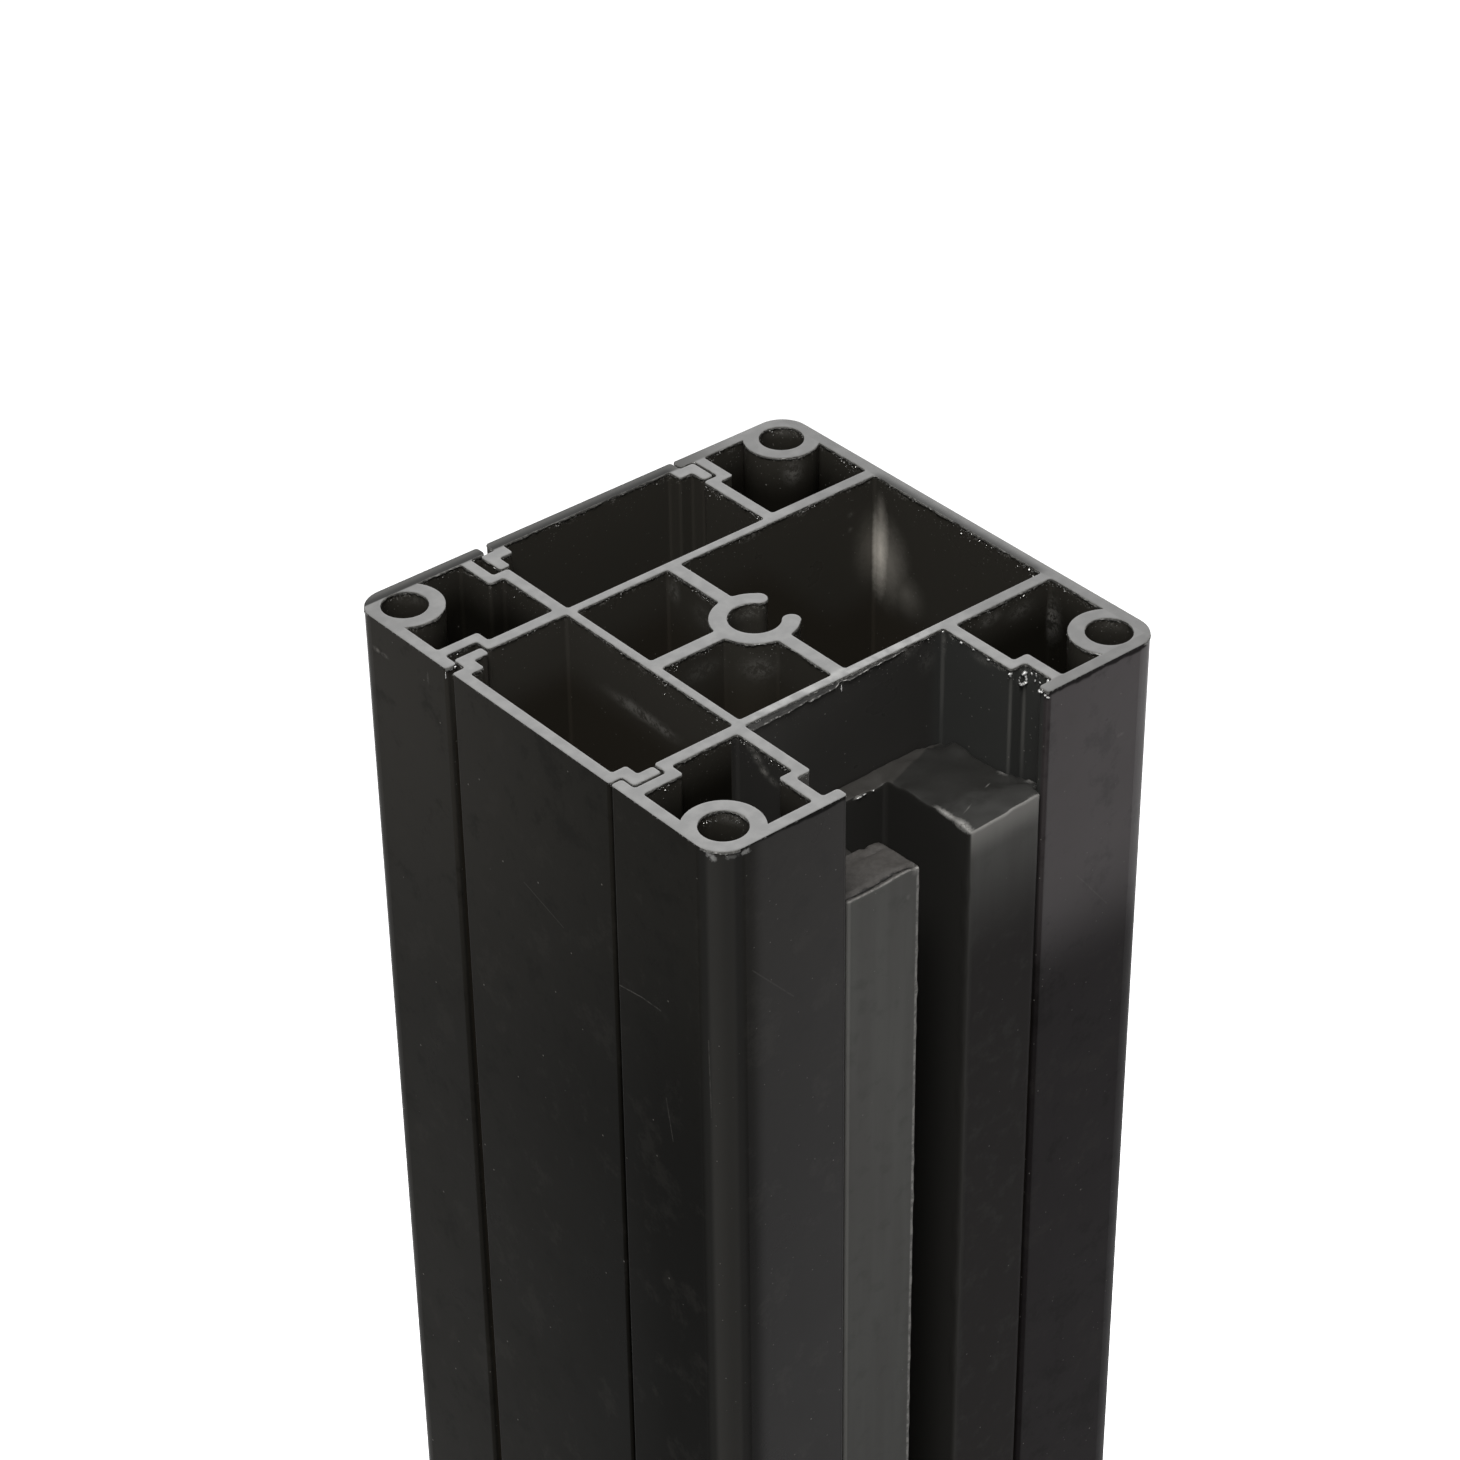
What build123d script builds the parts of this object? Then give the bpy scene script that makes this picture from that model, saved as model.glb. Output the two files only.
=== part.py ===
"""Square fence post: a hollow aluminium extrusion with a panel slot in three of its faces.

The post stands on its base end with +Z up. The open slot faces -Y and holds a rubber
glazing gasket. The slots in the -X and +Y faces are closed by clip-in cover strips, and
the +X face is a plain wall. Lengths are in millimetres.
"""
import math
import os

from build123d import *

os.makedirs("parts", exist_ok=True)

# Post, outside
POST_SIDE = 70.0
POST_LENGTH = 1050.0
CORNER_RADIUS = 3.9

# Walls of the extrusion
OUTER_WALL = 1.65
SLOT_SIDE_WALL = 1.6
SLOT_FLOOR_WALL = 1.2
EDGE_ROUND = 0.45

# Panel slots, and the metal between the floor of one and the side of the next
SLOT_WIDTH = 31.6
SLOT_SPACING = 0.85

# Groove behind each lip of a slot, where a strip or a gasket hooks in
RECESS_REACH = 2.3
RECESS_HEIGHT = 4.75
RECESS_SIDE_WALL = 1.5
RECESS_STEP_WALL = 1.25

# Screw ports in the four corners
PORT_RADIUS = 3.0
PORT_WALL = 2.0

# Open screw port in the middle, with its three webs
CENTRE_PORT_RADIUS = 3.4
CENTRE_PORT_WALL = 2.2
CENTRE_PORT_HALF_ANGLE = 44.0
CENTRE_PORT_TIP_RADIUS = 1.15
WEB_THICKNESS = 1.95

# Cover strips
STRIP_PLATE = 1.6
STRIP_RIB = 1.45
STRIP_LEG = 1.75
STRIP_TONGUE = 1.55
STRIP_ROUND = 0.4
STRIP_EDGE_GAP = 0.85
STRIP_NARROW_GAP = 0.35
STRIP_SIDE_GAP = 0.95
STRIP_LIP_GAP = 0.3
STRIP_END_GAP = 0.45

# Glazing gasket
PANE_THICKNESS = 8.0
GASKET_BASE = 2.8
GASKET_TOP_DROP = 16.0
GASKET_ROUND = 0.5
GASKET_LUG_GAP = 0.5
GASKET_MOUTH_GAP = 0.35
GASKET_FLOOR_GAP = 0.2
GASKET_FRONT_SETBACK = 0.2

# Distances from the post's axis that the pieces share
face = POST_SIDE / 2
inner_face = face - OUTER_WALL
slot_side = SLOT_WIDTH / 2
slot_floor = slot_side + SLOT_SPACING
chamber_side = slot_floor - SLOT_FLOOR_WALL
box_side = slot_side + SLOT_SIDE_WALL
recess_side = slot_side + RECESS_REACH
recess_floor = inner_face - RECESS_HEIGHT
step_side = recess_side + RECESS_SIDE_WALL
step_floor = recess_floor - RECESS_STEP_WALL
port_centre = inner_face - PORT_RADIUS
centre_port_outer = CENTRE_PORT_RADIUS + CENTRE_PORT_WALL


def area(x_low, x_high, y_low, y_high):
    """Rectangle between two x and two y values."""
    width = x_high - x_low
    depth = y_high - y_low
    return Pos(x_low + width / 2, y_low + depth / 2) * Rectangle(width, depth)


def both_sides(shape):
    """A shape and its mirror image across the slot's middle plane."""
    return shape + mirror(shape, about=Plane.YZ)


def slot_hollow():
    """Space that one panel slot takes out of the section, drawn in the +Y face."""
    hollow = area(-slot_side, slot_side, slot_floor, face)
    hollow += area(-recess_side, recess_side, recess_floor, inner_face)
    # The strip of space in front of the face lets the lips' outer edges be rounded too
    hollow += area(-recess_side, recess_side, face, face + OUTER_WALL)
    return fillet(hollow.vertices(), EDGE_ROUND)


def corner_hollow(wall_face, second_slot):
    """Box-shaped hollow of one corner round its screw port, drawn in the +X +Y corner."""
    hollow = area(box_side, inner_face, wall_face, inner_face)
    hollow -= area(box_side, step_side, step_floor, inner_face)
    if second_slot:
        hollow -= area(step_floor, inner_face, wall_face, step_side)
    hollow = fillet(hollow.vertices(), EDGE_ROUND)
    return hollow - Pos(port_centre, port_centre) * Circle(PORT_RADIUS + PORT_WALL)


def centre_port_metal():
    """C-shaped screw port with round lips and the three webs that carry it."""
    metal = Circle(centre_port_outer)
    metal += area(-chamber_side, 0, -WEB_THICKNESS / 2, WEB_THICKNESS / 2)
    metal += area(-WEB_THICKNESS / 2, WEB_THICKNESS / 2, -chamber_side, chamber_side)
    metal -= Circle(CENTRE_PORT_RADIUS)
    opening = math.radians(CENTRE_PORT_HALF_ANGLE)
    mouth_x = 2 * centre_port_outer
    mouth_y = mouth_x * math.tan(opening)
    metal -= make_face(Polyline((0, 0), (mouth_x, mouth_y), (mouth_x, -mouth_y), close=True))
    lip_radius = (CENTRE_PORT_RADIUS + centre_port_outer) / 2
    lip_x = lip_radius * math.cos(opening)
    lip_y = lip_radius * math.sin(opening)
    metal += Pos(lip_x, lip_y) * Circle(CENTRE_PORT_TIP_RADIUS)
    metal += Pos(lip_x, -lip_y) * Circle(CENTRE_PORT_TIP_RADIUS)
    return metal


def centre_hollow():
    """Middle chamber, which runs on to the plain wall, less the port and its webs."""
    hollow = area(-chamber_side, inner_face, -chamber_side, chamber_side)
    hollow -= centre_port_metal()
    corners = [v for v in hollow.vertices() if v.X < WEB_THICKNESS or v.X > centre_port_outer]
    return fillet(corners, EDGE_ROUND)


def post_section():
    """Section of the extrusion, the same over its whole length."""
    section = RectangleRounded(POST_SIDE, POST_SIDE, CORNER_RADIUS)
    section -= centre_hollow()
    slot = slot_hollow()
    for turn in (0, 90, 180):
        section -= Rot(0, 0, turn) * slot
    plain_corner = corner_hollow(chamber_side + SLOT_SIDE_WALL, False)
    slotted_corner = corner_hollow(box_side, True)
    back_corners = plain_corner + mirror(slotted_corner, about=Plane.YZ)
    section -= back_corners
    section -= mirror(back_corners, about=Plane.XZ)
    for x in (-port_centre, port_centre):
        for y in (-port_centre, port_centre):
            section -= Pos(x, y) * Circle(PORT_RADIUS)
    return section


def strip_section():
    """Cover strip, drawn in the slot of the +Y face."""
    plate_side = slot_side - STRIP_EDGE_GAP
    rib_side = plate_side - STRIP_RIB
    tongue_side = recess_side - STRIP_SIDE_GAP
    leg_top = inner_face - STRIP_LIP_GAP
    leg_bottom = leg_top - STRIP_LEG
    rib = area(rib_side, plate_side, leg_bottom, face)
    leg = area(rib_side, tongue_side, leg_bottom, leg_top)
    tongue = area(tongue_side - STRIP_TONGUE, tongue_side, recess_floor + STRIP_END_GAP, leg_top)
    section = area(-plate_side, plate_side, face - STRIP_PLATE, face)
    section += both_sides(rib + leg + tongue)
    return fillet(section.vertices(), STRIP_ROUND)


def gasket_section():
    """U-shaped glazing gasket with a lug behind each lip, drawn in the slot of the +Y face."""
    body_side = slot_side - GASKET_MOUTH_GAP
    lug_side = recess_side - GASKET_LUG_GAP
    back = slot_floor + GASKET_FLOOR_GAP
    front = face - GASKET_FRONT_SETBACK
    section = area(-body_side, body_side, back, front)
    lug_low = recess_floor + GASKET_MOUTH_GAP
    lug_high = inner_face - GASKET_MOUTH_GAP
    section += area(-lug_side, lug_side, lug_low, lug_high)
    section -= area(-PANE_THICKNESS / 2, PANE_THICKNESS / 2, back + GASKET_BASE, face)
    return fillet(section.vertices(), GASKET_ROUND)


# The post itself
post = extrude(post_section(), POST_LENGTH)

# Each strip has slid to one side of its slot: the left one to the front, the back one to the right
strip = strip_section()
slide = STRIP_EDGE_GAP - STRIP_NARROW_GAP
left_strip = extrude(Rot(0, 0, 90) * Pos(-slide, 0) * strip, POST_LENGTH)
back_strip = extrude(Pos(slide, 0) * strip, POST_LENGTH)

# The gasket stops short of the post's top, where the panel's own top edge lies
gasket = extrude(Rot(0, 0, 180) * gasket_section(), POST_LENGTH - GASKET_TOP_DROP)

pieces = {
    "post_extrusion": post,
    "left_cover_strip": left_strip,
    "back_cover_strip": back_strip,
    "glazing_gasket": gasket,
}
for name, piece in pieces.items():
    piece.label = name
    export_step(piece, f"parts/{name}.step")
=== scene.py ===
# %% [markdown]
# # Dressing a square fence post
#
# The object is a hollow aluminium fence post with a black powder coat, sawn off square. A
# rubber glazing gasket stands in its open slot, and cover strips close two more slots. The
# CAD model already holds the exact shapes of the post and the strips. This lesson adds what
# a drawing leaves out: the coat, the sawn metal, the burrs, the dust and a hand-cut gasket.

import math

import bmesh
import bpy
import numpy as np
from mathutils import Matrix, Vector, geometry, noise


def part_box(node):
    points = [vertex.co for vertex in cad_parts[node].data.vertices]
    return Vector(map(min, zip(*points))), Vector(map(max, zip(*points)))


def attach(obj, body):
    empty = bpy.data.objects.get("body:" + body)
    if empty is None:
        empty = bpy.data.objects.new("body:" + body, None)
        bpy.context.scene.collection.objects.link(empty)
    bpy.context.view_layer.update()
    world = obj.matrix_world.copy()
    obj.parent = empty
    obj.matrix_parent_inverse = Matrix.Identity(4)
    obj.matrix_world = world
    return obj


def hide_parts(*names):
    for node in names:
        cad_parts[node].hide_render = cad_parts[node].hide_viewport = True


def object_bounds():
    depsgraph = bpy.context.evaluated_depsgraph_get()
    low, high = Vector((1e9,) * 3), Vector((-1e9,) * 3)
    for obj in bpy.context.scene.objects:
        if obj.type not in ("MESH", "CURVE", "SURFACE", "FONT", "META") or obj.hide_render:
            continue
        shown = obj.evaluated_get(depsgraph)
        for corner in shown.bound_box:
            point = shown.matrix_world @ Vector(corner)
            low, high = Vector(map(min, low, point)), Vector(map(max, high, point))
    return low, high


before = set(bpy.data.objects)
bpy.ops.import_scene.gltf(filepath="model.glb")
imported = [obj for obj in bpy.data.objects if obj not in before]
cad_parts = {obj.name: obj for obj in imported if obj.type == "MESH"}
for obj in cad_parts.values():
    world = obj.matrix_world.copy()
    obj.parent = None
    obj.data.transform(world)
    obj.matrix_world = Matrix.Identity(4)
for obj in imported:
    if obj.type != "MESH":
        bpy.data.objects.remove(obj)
cad_low, cad_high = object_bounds()
MM = 0.001
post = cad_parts["post_extrusion"]
covers = [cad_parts["left_cover_strip"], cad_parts["back_cover_strip"]]
cad_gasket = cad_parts["glazing_gasket"]
top = cad_high.z
half_side = cad_high.x
print("post", round(2 * half_side / MM, 2), "mm square,", round(top / MM, 1), "mm long")


# %% [markdown]
# ## Where the camera stands
#
# The photograph looks down on the sawn end from close by, over the corner between the open
# slot and the left strip. Lines that are parallel on the post run together in the picture,
# and how fast they do so gives the distance. The three directions below are the camera's
# own axes in the post's frame, and the eye is about 49 cm from the middle of the sawn end.

# %% Camera
SENSOR_WIDTH = 36.0
LENS = 98.83
NEAREST_SEEN = 0.01
TO_RIGHT = Vector((0.76565776, -0.64313929, -0.01183419))
TO_BOTTOM = Vector((-0.37383721, -0.42993123, -0.8218302))
INTO_VIEW = Vector((0.5234634, 0.63366473, -0.56960958))
EYE = Vector((-0.262175, -0.312386, top + 0.266154))


def add_object(name, data):
    """New object in the scene."""
    thing = bpy.data.objects.new(name, data)
    bpy.context.scene.collection.objects.link(thing)
    return thing


camera_data = bpy.data.cameras.new("camera")
camera_data.sensor_width = SENSOR_WIDTH
camera_data.lens = LENS
camera_data.clip_start = NEAREST_SEEN
camera = add_object("camera", camera_data)
turned = Matrix((TO_RIGHT, -TO_BOTTOM, -INTO_VIEW)).transposed()
camera.matrix_world = Matrix.Translation(EYE) @ turned.to_4x4()
bpy.context.scene.camera = camera
print("eye to sawn end", round((EYE - Vector((0, 0, top))).length / MM), "mm")

# %% [markdown]
# ## Nodes with less typing
#
# A finish is a graph of small steps. Written out in full, each step takes four or five
# lines, which hides what the finish is made of. So one helper opens a graph, and the next
# adds a node to it, sets the node up and connects it in a single call. The others build on
# these and give the sums, blends and noises that every finish here needs.

# %% Helpers for one node
tree = None


def open_graph(owner):
    """Empties the node graph of a material or world. The helpers add to the one opened last."""
    global tree
    owner.use_nodes = True
    tree = owner.node_tree
    tree.nodes.clear()


def put(kind, inputs=(), **settings):
    """Adds a node, and links or fills the inputs that are named."""
    node = tree.nodes.new("ShaderNode" + kind)
    for name, value in settings.items():
        setattr(node, name, value)
    for name, value in dict(inputs).items():
        if isinstance(value, bpy.types.NodeSocket):
            tree.links.new(value, node.inputs[name])
        else:
            node.inputs[name].default_value = value
    return node


def maths(operation, *values):
    """Result of one Math operation, carried on from value to value."""
    total = values[0]
    for value in values[1:]:
        total = put("Math", {0: total, 1: value}, operation=operation).outputs[0]
    return total


def times(*values):
    """Product of the values."""
    return maths("MULTIPLY", *values)


def plus(*values):
    """Sum of the values."""
    return maths("ADD", *values)


def minus(first, second):
    """First value less the second."""
    return maths("SUBTRACT", first, second)


def most(*values):
    """Largest of the values."""
    return maths("MAXIMUM", *values)


def unsigned(value):
    """The value without its sign."""
    return put("Math", {0: value}, operation="ABSOLUTE").outputs[0]


def vectors(operation, *values):
    """Result of a Vector Math node, which is a number for lengths and dot products."""
    node = put("VectorMath", dict(enumerate(values)), operation=operation)
    is_number = operation in ("LENGTH", "DISTANCE", "DOT_PRODUCT")
    return node.outputs["Value" if is_number else "Vector"]


def scaled(vector, factor):
    """Vector times a number."""
    return put("VectorMath", {0: vector, "Scale": factor}, operation="SCALE").outputs[0]


def fade(value, start, end, low=0.0, high=1.0):
    """Turns a value into a smooth step: low before start and high after end."""
    inputs = {"Value": value, "From Min": start, "From Max": end, "To Min": low, "To Max": high}
    return put("MapRange", inputs, interpolation_type="SMOOTHSTEP").outputs[0]


def between(share, low, high):
    """Number between two numbers: low for a share of 0 and high for a share of 1."""
    return fade(share, 0.0, 1.0, low, high)


def blend_of(share, first, second):
    """Colour between two colours."""
    node = put("Mix", {0: share}, data_type="RGBA")
    for slot, value in ((6, first), (7, second)):
        if isinstance(value, bpy.types.NodeSocket):
            tree.links.new(value, node.inputs[slot])
        else:
            node.inputs[slot].default_value = (*value, 1.0)
    return node.outputs[2]


def mix_shaders(share, first, second):
    """Shader between two shaders."""
    return put("MixShader", {0: share, 1: first.outputs[0], 2: second.outputs[0]})


# %% Helpers for a whole finish
def new_finish(name):
    """Empty material, its output node, and the place on the object in millimetres."""
    material = bpy.data.materials.new(name)
    open_graph(material)
    out = put("OutputMaterial")
    place = scaled(put("TexCoord").outputs["Object"], 1 / MM)
    return material, out, place


def show(out, shader):
    """Makes a shader the surface of a material or of the world."""
    tree.links.new(shader.outputs[0], out.inputs["Surface"])


def grain(place, scale, detail=2.0, stretch=None, rough=0.5):
    """Noise between 0 and 1. The scale is in waves per millimetre."""
    if stretch:
        place = vectors("MULTIPLY", place, stretch)
    inputs = {"Vector": place, "Scale": scale, "Detail": detail, "Roughness": rough}
    return put("TexNoise", inputs).outputs["Fac"]


def specks(place, per_mm, size, share):
    """Small round dots, one at most in each cell, in that share of the cells."""
    inputs = {"Vector": place, "Scale": per_mm}
    cells = put("TexVoronoi", inputs, feature="F1")
    pick = put("SeparateColor", {0: cells.outputs["Color"]}).outputs[0]
    chosen = maths("LESS_THAN", pick, share)
    radius = size * per_mm
    dot = fade(cells.outputs["Distance"], radius, radius * 0.5)
    return times(dot, chosen)


def mottled(name, waves, limits, colours, matte, metallic=0.0, **noise_kind):
    """Simple finish that is mottled in two colours, dark below the limits and light above."""
    finish, out, place = new_finish(name)
    light = fade(grain(place, waves, **noise_kind), *limits)
    inputs = {"Base Color": blend_of(light, *colours), "Roughness": matte}
    show(out, put("BsdfPrincipled", {**inputs, "Metallic": metallic}))
    return finish


# %% [markdown]
# ## Floor and background
#
# The post stands on a plain pale floor that is wide enough to fill the picture, so it is the
# background too. Light Path tells rays apart. Rays from the camera meet a floor that a glow
# lifts to white, and it keeps a part of its real shading there, so the post's shadow still
# shows on it. In mirror images the floor is plain white. All other rays meet the pale floor
# itself, so the lifting puts no more light on the post. The world's sky is lifted likewise.

# %% Floor and world
FLOOR_SIZE = 40.0
FLOOR_PALE = (0.45, 0.45, 0.45, 1.0)
FLOOR_SHADED = (3.5, 3.5, 3.5, 1.0)
FLOOR_GLOW = 0.42
SKY_LEVEL = 0.2
WHITE = (1.0, 1.0, 1.0, 1.0)


def ray_is(*kinds):
    """1 for rays of the named kinds, else 0."""
    path = put("LightPath")
    return most(*[path.outputs[f"Is {kind} Ray"] for kind in kinds])


floor_finish, out, place = new_finish("plain_floor")
pale = put("BsdfDiffuse", {"Color": FLOOR_PALE})
shading = put("BsdfDiffuse", {"Color": FLOOR_SHADED})
glow = put("Emission", {"Color": WHITE, "Strength": FLOOR_GLOW})
lifted = put("AddShader", {0: glow.outputs[0], 1: shading.outputs[0]})
plain_white = put("Emission", {"Color": WHITE, "Strength": 1.0})
seen = mix_shaders(ray_is("Camera", "Transmission"), pale, lifted)
show(out, mix_shaders(ray_is("Glossy"), seen, plain_white))

half = FLOOR_SIZE / 2
floor_corners = [(-half, -half, 0), (half, -half, 0), (half, half, 0), (-half, half, 0)]
floor_mesh = bpy.data.meshes.new("floor")
floor_mesh.from_pydata(floor_corners, [], [(0, 1, 2, 3)])
floor_mesh.materials.append(floor_finish)
floor = add_object("floor", floor_mesh)

world = bpy.data.worlds.new("studio")
bpy.context.scene.world = world
open_graph(world)
level = between(ray_is("Camera", "Glossy", "Transmission"), SKY_LEVEL, 1.0)
sky = put("Background", {"Color": WHITE, "Strength": level})
show(put("OutputWorld"), sky)
bpy.context.scene.view_settings.view_transform = "Standard"
print("floor", FLOOR_SIZE, "m wide, sky level", SKY_LEVEL)

# %% [markdown]
# ## Lamps
#
# Black satin shows hardly any colour of its own. What the eye reads on it is the mirror
# image of bright and dark places around it, so the lamps are placed by what each face
# reflects. A broad lamp above lights the sawn end. A tall dim card low on the right shows in
# the faces beside the open slot, and a wider one low on the left shows in the left faces.

# %% Lamps
# Each lamp's place and aim in metres, its two sizes, its power and its beam's angle
LAMPS = {
    "overhead": ((-0.65, -0.55, top + 1.9), (0, 0, top), (0.9, 0.9), 3.4, 40),
    "right_card": ((0.56, -0.34, top - 0.52), (0.026, -0.035, top - 0.04), (0.42, 0.5), 0.155, 80),
    "left_card": ((-0.72, -0.22, top - 0.54), (-0.035, -0.035, top - 0.04), (0.9, 0.4), 0.17, 90),
}

for name, (at, aim, size, power, spread) in LAMPS.items():
    data = bpy.data.lights.new(name, "AREA")
    data.shape = "RECTANGLE"
    data.size, data.size_y = size
    data.energy = power
    data.spread = math.radians(spread)
    lamp = add_object(name, data)
    facing = (Vector(at) - Vector(aim)).to_track_quat("Z", "Y")
    lamp.matrix_world = Matrix.Translation(Vector(at)) @ facing.to_matrix().to_4x4()
    lamp.visible_camera = False
print("lamps", list(LAMPS))

# %% [markdown]
# ## Powder coat
#
# The coat is sprayed on as a dry powder and baked, so it is a thin black plastic skin with
# a very fine orange-peel surface. What makes it look real here is where it isn't clean: saw
# dust below the cut, smears where something brushed the walls and two chips. Painted light
# is added to them: a painted sheen on the outer faces, painted highlights on a few edges and
# walls, and a painted highlight streak. Each of those is a soft patch at a measured place.
# Such a patch is a stretched ball round its place, and noise breaks up its rim.

# %% Coat colours and soft patches
LENGTH = top / MM
FACE = half_side / MM
COAT = (0.014, 0.013, 0.0105)
# Darker coat towards the bottom, a painted shade; it also colours random dark blotches
COAT_LOW = (0.003, 0.0028, 0.002)
# A painted highlight on the rounded near corner
COAT_CORNER_HIGHLIGHT = (0.022, 0.0215, 0.020)
# The next four are painted sheen colours of the outer faces, lit on the right and in painted shade
# lower down; the first also colours random pale blotches
COAT_SHEEN_AND_MOTTLE = (0.042, 0.039, 0.034)
COAT_FRONT_SHEEN = (0.050, 0.044, 0.046)
COAT_RIGHT_LIT = (0.065, 0.057, 0.058)
COAT_FILM_SHADED = (0.022, 0.019, 0.020)
# Inside walls: the next four are painted lit tones, and the two deep ones are painted shade
COAT_INSIDE_LIT = (0.040, 0.037, 0.031)
COAT_SLOT = (0.038, 0.0365, 0.034)
COAT_SLOT_RIGHT = (0.045, 0.0455, 0.043)
COAT_SLOT_LEFT = (0.048, 0.0445, 0.038)
COAT_DEEP_SHADE = (0.030, 0.026, 0.020)
COAT_BOX_DEEP_SHADE = (0.010, 0.009, 0.007)
# Painted shadow under the burr, just below the front face's upper edge
COAT_EDGE_SHADOW = (0.008, 0.008, 0.008)
COAT_TINT = (1.0, 0.94, 0.84)
# A painted reflection tint, for the front faces only
COAT_FRONT_REFLECTION_TINT = (1.0, 0.925, 0.95)
# Dust colour, which also paints highlights on edges and walls
DUST_AND_HIGHLIGHTS = (0.26, 0.25, 0.23)
# How far down the inside walls are lit, and where the right side falls into shade
LIT_DEPTH = 6.5
REACH_SPREAD = 0.2
RIGHT_SHADE = (25.0, 48.0)


def where(place):
    """x, y and the depth below the sawn end, in millimetres."""
    sides = put("SeparateXYZ", {0: place})
    return sides.outputs["X"], sides.outputs["Y"], minus(LENGTH, sides.outputs["Z"])


def patch(place, ragged, spot, outside=1.15, inside=0.35):
    """Soft patch with a broken rim: spot is x, y, depth, its three reaches and its strength."""
    x, y, depth, *reach, strength = spot
    away = vectors("SUBTRACT", place, (x, y, LENGTH - depth))
    away = vectors("LENGTH", vectors("DIVIDE", away, reach))
    return fade(plus(away, ragged), outside, inside, 0.0, strength)


def patches(place, ragged, spots, outside=1.15, inside=0.35):
    """Strongest of several patches."""
    return most(*[patch(place, ragged, spot, outside, inside) for spot in spots])


# A scratch is seen from this far off its middle, and is at its full strength from this near
HAIRLINE = (0.13, 0.04)


def scratch(place, start, end, strength):
    """Hairline between two places, given as x, y and depth."""
    start = Vector((start[0], start[1], LENGTH - start[2]))
    line = Vector((end[0], end[1], LENGTH - end[2])) - start
    out_from = vectors("SUBTRACT", place, start)
    along = vectors("DOT_PRODUCT", out_from, line / line.length_squared)
    foot = scaled(line, put("Clamp", {0: along}).outputs[0])
    return fade(vectors("DISTANCE", out_from, foot), *HAIRLINE, 0.0, strength)


# %% Places of the wear
# Dusty smears and two painted highlights, each as x, y, depth, three reaches and strength, in
# millimetres
SMEARS_AND_HIGHLIGHTS = [
    (-16.65, 1.6, 7.4, 1.0, 8.5, 1.3, 0.62), (-16.65, 3.4, 7.2, 1.0, 3.2, 1.2, 0.55),
    (-16.65, -2.8, 7.6, 1.0, 3.6, 1.2, 0.50), (-3.0, -4.4, 3.6, 3.2, 2.6, 2.3, 0.34),
    (-9.0, -1.0, 3.2, 3.6, 0.8, 1.8, 0.24), (-1.0, 14.2, 2.6, 0.8, 1.4, 2.2, 0.42),
    (-1.0, 8.5, 3.6, 0.8, 3.0, 2.4, 0.20), (23.2, -17.05, 1.7, 2.6, 0.6, 1.3, 0.45),
    (28.3, -17.05, 2.6, 3.0, 0.6, 1.7, 0.30), (33.35, -17.6, 5.6, 0.7, 2.0, 4.2, 0.48),
    (-17.4, -19.8, 0.7, 0.6, 1.1, 0.9, 1.0), (-17.4, -21.0, 1.7, 0.6, 1.1, 1.0, 1.0),
    (-17.4, -22.2, 2.8, 0.6, 1.2, 1.0, 0.9), (-17.4, -23.8, 3.4, 0.6, 1.3, 0.8, 0.5),
    (9.8, -16.65, 1.1, 2.8, 0.5, 1.1, 0.30), (13.2, -16.65, 3.6, 2.0, 0.5, 2.6, 0.16),
    (15.8, -16.9, 2.2, 0.5, 0.5, 2.6, 0.34), (15.8, -23.4, 1.2, 0.5, 2.2, 0.9, 0.30),
    (-29.0, -29.4, 0.9, 3.0, 2.2, 1.4, 0.75), (31.4, -29.2, 1.0, 3.0, 2.2, 1.3, 0.36),
    (31.4, 31.4, 0.8, 2.6, 2.6, 1.2, 0.55), (-29.0, 31.4, 1.0, 2.6, 2.6, 1.2, 0.34),
    # The spot at (28.4, 25.8), a lit port wall, and the one at (12.0, 28.0), light bands, are
    # painted highlights
    (1.2, 2.6, 1.3, 2.6, 2.0, 1.4, 0.42), (28.4, 25.8, 2.2, 2.0, 1.6, 2.4, 0.42),
    (12.0, 28.0, 4.0, 1.6, 1.0, 5.0, 0.20), (-35.0, 30.2, 4.45, 0.5, 1.0, 0.45, 0.9),
    (-35.0, 28.6, 4.5, 0.5, 1.0, 0.4, 0.6),
    (-35.0, 19.6, 3.2, 0.5, 0.3, 1.2, 0.30), (28.3, -35.0, 11.8, 0.9, 0.5, 0.35, 0.30),
    (29.2, 15.45, 4.3, 0.7, 0.5, 0.5, 0.30), (29.2, 15.45, 6.5, 0.6, 0.5, 0.6, 0.22),
]
# Painted highlights: edges that stand out as pale upright lines in the open slot
PAINTED_EDGE_HIGHLIGHTS = [
    (15.8, -28.6, 9.0, 0.42, 0.42, 11.0, 0.16), (18.1, -28.6, 9.0, 0.42, 0.42, 9.0, 0.16),
    (15.7, -16.8, 7.0, 0.35, 0.35, 7.0, 0.10),
]
# A painted highlight streak in the middle chamber, beside its back corner
HIGHLIGHT_STREAK = [
    (33.35, 14.2, 11.0, 0.6, 2.0, 6.8, 1.0), (33.35, 14.2, 6.5, 0.6, 1.2, 4.0, 0.40),
    (33.35, 13.0, 12.0, 0.6, 4.2, 6.5, 0.30), (33.35, 9.2, 15.2, 0.6, 3.4, 3.4, 0.13),
    (33.0, 15.15, 10.4, 3.6, 0.6, 6.0, 0.18),
]
HIGHLIGHT_STREAK_PALE = (0.94, 0.88, 0.78)
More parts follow.
